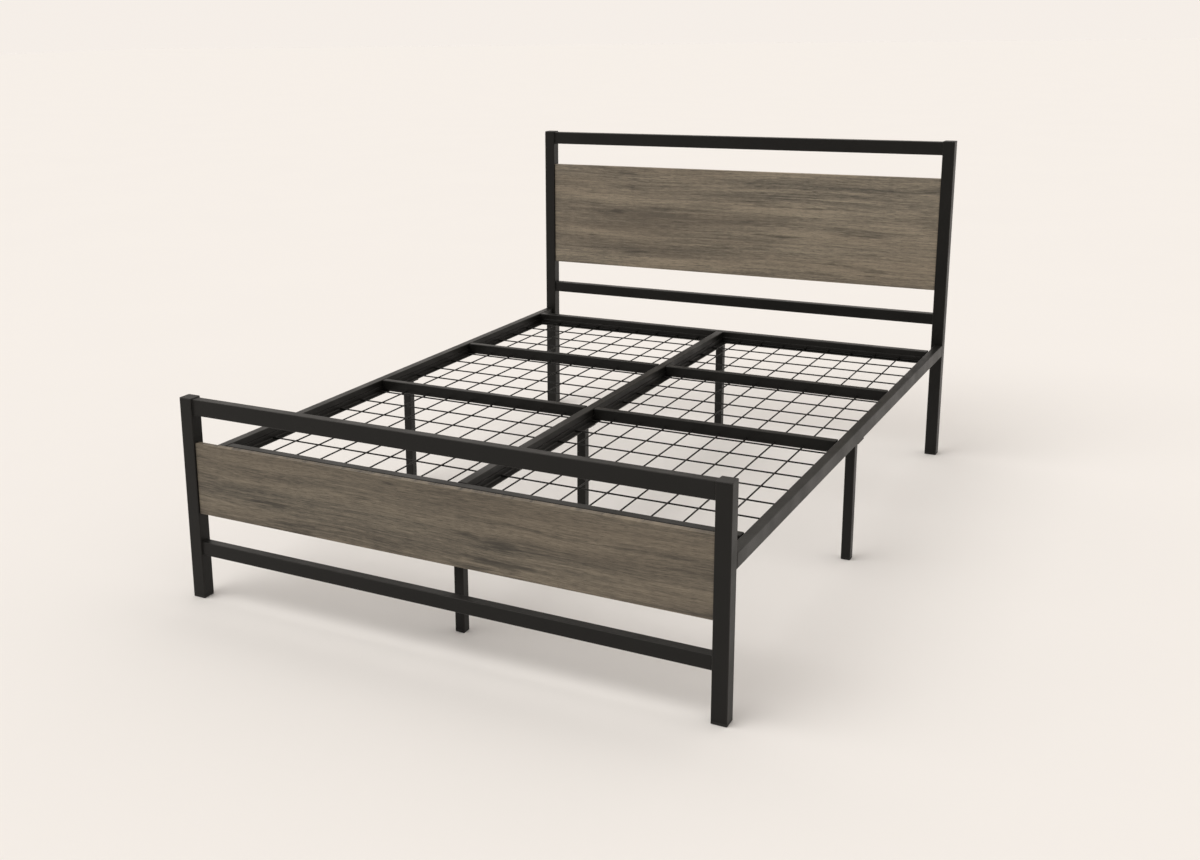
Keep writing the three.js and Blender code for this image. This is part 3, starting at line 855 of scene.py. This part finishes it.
class BED_OT_cross_rails(bpy.types.Operator):
    """Builds the cross rails at the head and foot of the deck, the centre rail and the cross bars"""
    bl_idname = "bed.cross_rails"
    bl_label = "Cross rails, centre rail and cross bars"

    def execute(self, context):
        details = context.scene.bed_details
        rng = random.Random(47)
        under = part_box("side_rail_right")[0].z
        bottom = under + LEDGE_THICKNESS + GAP
        for node, towards_bed in (("foot_cross_rail", 1), ("head_cross_rail", -1)):
            low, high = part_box(node)
            outer = low.y if towards_bed > 0 else high.y
            inner = outer + towards_bed * RAIL_WIDTH
            middle = (0, (outer + inner) / 2, (bottom + high.z) / 2)
            shape = start_mesh()
            add_tube(shape, "X", middle, (RAIL_WIDTH, high.z - bottom), (low.x, high.x),
                     details.corner_radius)
            span = (low.x + LEDGE_REACH, high.x - LEDGE_REACH)
            add_ledge(shape, "X", (0, inner, under), (0, towards_bed, 0), span, details.weld_radius, rng)
            add_steel_piece(context, f"{node}_tube", shape, [node])
        low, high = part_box("centre_rail")
        shape = start_mesh()
        add_tube(shape, "Y", (0, 0, (bottom + high.z) / 2), (RAIL_WIDTH, high.z - bottom), (low.y, high.y),
                 details.corner_radius)
        span = (low.y + LEDGE_REACH, high.y - LEDGE_REACH)
        for sign in (-1, 1):
            corner = (sign * RAIL_WIDTH / 2, 0, under)
            add_ledge(shape, "Y", corner, (sign, 0, 0), span, details.weld_radius, rng)
        add_steel_piece(context, "centre_rail_tube", shape, ["centre_rail"])
        for order in ("first", "second"):
            for side in ("left", "right"):
                node = f"{order}_cross_bar_{side}"
                low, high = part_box(node)
                middle, size = (low + high) / 2, high - low
                shape = start_mesh()
                add_tube(shape, "X", (0, middle.y, middle.z), (size.y, size.z), (low.x, high.x),
                         details.corner_radius)
                add_steel_piece(context, f"{order}_cross_bar_tube_{side}", shape, [node])
        return {"FINISHED"}


class BED_OT_deck_bolts(bpy.types.Operator):
    """Builds the flanged hexagon bolts that hold the cross rails and bars"""
    bl_idname = "bed.deck_bolts"
    bl_label = "Deck bolts"

    def execute(self, context):
        sides, across = 24, HEX_ACROSS
        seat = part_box("side_rail_right")[0].z - GAP
        run = (Vector((1, 0, 0)), Vector((0, 1, 0)), Vector((0, 0, -1)))
        for line in range(1, 5):
            for side in ("left", "right"):
                node = f"deck_bolt_{line}_{side}"
                low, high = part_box(node)
                middle = (low + high) / 2
                head, depth = seat - low.z, high.z - seat
                flange = [(circle_outline(0.7 * across, sides, 0.6), 0),
                          (circle_outline(0.7 * across, sides, 0.8), 0.8 * MM),
                          (circle_outline(0.56 * across, sides), 1.3 * MM)]
                hexagon = [(hexagon_outline(across, sides), 1.35 * MM),
                           (hexagon_outline(across, sides), head - 0.5 * MM),
                           (hexagon_outline(across, sides, 0.5 * across), head)]
                dish = [(circle_outline(0.4 * across, sides), head),
                        (circle_outline(0.37 * across, sides), head - 0.25 * MM)]
                thread = [(circle_outline(THREAD_RADIUS if step % 2 else THREAD_ROOT, sides),
                           -depth * step / (2 * THREAD_TURNS)) for step in range(2 * THREAD_TURNS + 1)]
                shape = start_mesh()
                loft(shape, flange + hexagon + dish, run, (middle.x, middle.y, seat))
                loft(shape, thread, run, (middle.x, middle.y, seat))
                add_piece(context, f"flange_bolt_{line}_{side}", shape, ["bright_zinc"], [node],
                          sharp=30)
        return {"FINISHED"}


def add_wire(shape, run, middle, span):
    """A straight round wire with eased ends."""
    start, end = span
    body = circle_outline(WIRE_RADIUS, WIRE_SIDES)
    tip = circle_outline(0.7 * WIRE_RADIUS, WIRE_SIDES, 0.8)
    easing = 0.4 * WIRE_RADIUS
    loft(shape, [(tip, start), (body, start + easing), (body, end - easing), (tip, end)], run, middle)


def wire_lines(node, axis):
    """Where the middles of a mesh panel's wires lie along an axis, from the corners of its CAD mesh: corners
    closer together than a wire belong to one, and a wire's two ends, which have no width, are left out."""
    places = sorted({round(v.co[axis], 5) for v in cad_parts[node].data.vertices})
    groups = [[places[0]]]
    for place in places[1:]:
        if place - groups[-1][-1] > 1.2 * WIRE_RADIUS:
            groups.append([])
        groups[-1].append(place)
    return [(group[0] + group[-1]) / 2 for group in groups if group[-1] - group[0] > 1.2 * WIRE_RADIUS]


class BED_OT_wire_mesh(bpy.types.Operator):
    """Builds the six welded wire mesh panels of the deck"""
    bl_idname = "bed.wire_mesh"
    bl_label = "Wire mesh"

    def execute(self, context):
        rng = random.Random(59)
        for bay in ("foot", "middle", "head"):
            for side in ("left", "right"):
                node = f"{bay}_mesh_{side}"
                low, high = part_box(node)
                cross_z, long_z = low.z + WIRE_RADIUS, high.z - WIRE_RADIUS
                xs, ys = wire_lines(node, 0), wire_lines(node, 1)
                shape = start_mesh()
                for y in ys:
                    add_wire(shape, "X", (0, y, cross_z), (low.x, high.x))
                for x in xs:
                    add_wire(shape, "Y", (x, 0, long_z), (low.y, high.y))
                for y in ys:
                    for x in xs:
                        add_nugget(shape, (x, y, (cross_z + long_z) / 2), NUGGET, rng)
                add_piece(context, f"{bay}_wire_mesh_{side}", shape, ["black_wire_coat"],
                          [node])
        return {"FINISHED"}


# ---- Legs ----
class BED_OT_legs(bpy.types.Operator):
    """Builds the legs under the deck, with their top plates, welds and screws"""
    bl_idname = "bed.legs"
    bl_label = "Legs"

    def execute(self, context):
        details = context.scene.bed_details
        rng = random.Random(71)
        screws = start_mesh()
        legs = [f"side_leg_{side}" for side in ("left", "right")]
        legs += [f"centre_leg_{place}" for place in ("foot", "middle", "head")]
        for node in legs:
            low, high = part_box(node)
            glide_low, glide_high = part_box(f"{node}_glide")
            x, y = (glide_low.x + glide_high.x) / 2, (glide_low.y + glide_high.y) / 2
            middle, size = (low + high) / 2, high - low
            plate_bottom = high.z - LEG_PLATE_THICKNESS
            shape = start_mesh()
            add_tube(shape, "Z", (x, y, 0), (LEG_SIDE, LEG_SIDE), (low.z, plate_bottom + PLATE_EASING),
                     details.corner_radius)
            outline = rounded_outline(size.x, size.y, LEG_PLATE_CORNER)
            eased = [(px, py, 1.0) for px, py, _ in rounded_outline(
                size.x - 2 * PLATE_EASING, size.y - 2 * PLATE_EASING, LEG_PLATE_CORNER - PLATE_EASING)]
            loft(shape, [(eased, plate_bottom), (outline, plate_bottom + PLATE_EASING),
                         (outline, high.z - PLATE_EASING), (eased, high.z)], "Z", (middle.x, middle.y, 0))
            seam = [(x + px, y + py, plate_bottom)
                    for px, py, _ in rounded_outline(LEG_SIDE, LEG_SIDE, details.corner_radius, 3)]
            add_bead(shape, seam, (0, 0, 1), details.weld_radius, rng, closed=True)
            add_steel_piece(context, f"{node}_tube", shape, [node])
            if node.startswith("side"):
                sign = 1 if x > 0 else -1
                spots = [(x + sign * 8 * MM, y + way * LEG_SCREW_REACH) for way in (-1, 1)]
            else:
                spots = [(x + way * LEG_SCREW_REACH, y) for way in (-1, 1)]
            for px, py in spots:
                add_screw(screws, (px, py, plate_bottom), (0, 0, -1), details.screw_head)
        add_steel_piece(context, "leg_plate_screws", screws)
        return {"FINISHED"}


# ---- Studio ----
def add_to_scene(scene, name, data):
    made = bpy.data.objects.new(name, data)
    scene.collection.objects.link(made)
    return made


def add_floor(scene, studio):
    shape = bmesh.new()
    bmesh.ops.create_grid(shape, x_segments=24, y_segments=24, size=FLOOR_REACH)
    mesh = bpy.data.meshes.new("studio_floor")
    shape.to_mesh(mesh)
    shape.free()
    mesh.materials.append(studio_floor("pale_floor", studio.floor_colour))
    add_to_scene(scene, "studio_floor", mesh)


def add_surround(scene, studio):
    """Light from all round, dimmer in front of the bed; what is seen past the floor is one even colour."""
    world = bpy.data.worlds.new("studio_surround")
    world.use_nodes = True
    tree = world.node_tree
    background = tree.nodes["Background"]
    background.inputs["Color"].default_value = opaque(studio.sky_colour)
    direction = add_node(tree, "ShaderNodeTexCoord").outputs["Generated"]
    forward = add_node(tree, "ShaderNodeSeparateXYZ", {0: direction}).outputs["Y"]
    strength = remap(tree, forward, -0.75, 0.15, studio.front_share, 1.0, True)
    tree.links.new(strength, background.inputs["Strength"])
    backdrop = add_node(tree, "ShaderNodeBackground", {"Color": opaque(studio.backdrop_colour)})
    seen = add_node(tree, "ShaderNodeLightPath").outputs["Is Camera Ray"]
    both = add_node(tree, "ShaderNodeMixShader", {0: seen, 1: background.outputs[0], 2: backdrop.outputs[0]})
    tree.links.new(both.outputs[0], tree.nodes["World Output"].inputs["Surface"])
    scene.world = world


def add_key_light(scene, studio):
    light = bpy.data.lights.new("key_light", "SUN")
    light.energy = studio.key_strength
    light.angle = math.radians(KEY_SPREAD)
    light.color = KEY_COLOUR
    add_to_scene(scene, "key_light", light).rotation_euler = [math.radians(turn) for turn in KEY_TURN]


def add_camera(scene, studio):
    optics = bpy.data.cameras.new("camera")
    optics.lens = studio.lens
    optics.sensor_width = 36
    optics.shift_x, optics.shift_y = CAMERA_SHIFT
    optics.clip_end = 200
    yaw, pitch, roll = CAMERA_TURN
    ahead = Vector((-math.sin(yaw) * math.cos(pitch), math.cos(yaw) * math.cos(pitch), math.sin(pitch)))
    right = Vector((math.cos(yaw), math.sin(yaw), 0))
    up = right.cross(ahead)
    level_right = right * math.cos(roll) + up * math.sin(roll)
    level_up = up * math.cos(roll) - right * math.sin(roll)
    turned = Matrix((level_right, level_up, -ahead)).transposed().to_4x4()
    camera = add_to_scene(scene, "camera", optics)
    camera.matrix_world = Matrix.Translation(CAMERA_PLACE) @ turned
    scene.camera = camera


class BED_OT_studio(bpy.types.Operator):
    """Builds the floor, the soft light and the camera"""
    bl_idname = "bed.studio"
    bl_label = "Studio"

    def execute(self, context):
        scene = context.scene
        scene.view_settings.view_transform = "Standard"
        for add_part in (add_floor, add_surround, add_key_light, add_camera):
            add_part(scene, scene.bed_studio)
        return {"FINISHED"}


class BED_PT_pieces(bpy.types.Panel):
    """Lists what the bed frame is built from"""
    bl_idname = "BED_PT_pieces"
    bl_label = "Bed Frame"
    bl_space_type = "VIEW_3D"
    bl_region_type = "UI"
    bl_category = "Bed Frame"

    def draw(self, context):
        column = self.layout.column()
        for operator in OPERATORS:
            column.operator(operator.bl_idname)
        for group in (context.scene.bed_finishes, context.scene.bed_details, context.scene.bed_studio):
            box = self.layout.box()
            for name in group.__annotations__:
                box.prop(group, name)


OPERATORS = (BED_OT_posts, BED_OT_post_ends, BED_OT_board_rails, BED_OT_wood_panels, BED_OT_panel_cleats,
             BED_OT_side_rails, BED_OT_hook_plates, BED_OT_cross_rails, BED_OT_deck_bolts, BED_OT_wire_mesh,
             BED_OT_legs, BED_OT_studio)
SETTINGS = {"bed_finishes": BedFinishes, "bed_details": BedDetails, "bed_studio": BedStudio}
CLASSES = (*SETTINGS.values(), *OPERATORS, BED_PT_pieces)


def register():
    for cls in CLASSES:
        bpy.utils.register_class(cls)
    for name, group in SETTINGS.items():
        setattr(bpy.types.Scene, name, bpy.props.PointerProperty(type=group))


def unregister():
    for name in SETTINGS:
        delattr(bpy.types.Scene, name)
    for cls in reversed(CLASSES):
        bpy.utils.unregister_class(cls)


def main():
    register()
    for operator in OPERATORS:
        group, name = operator.bl_idname.split(".")
        getattr(getattr(bpy.ops, group), name)()


if __name__ == "__main__":
    main()
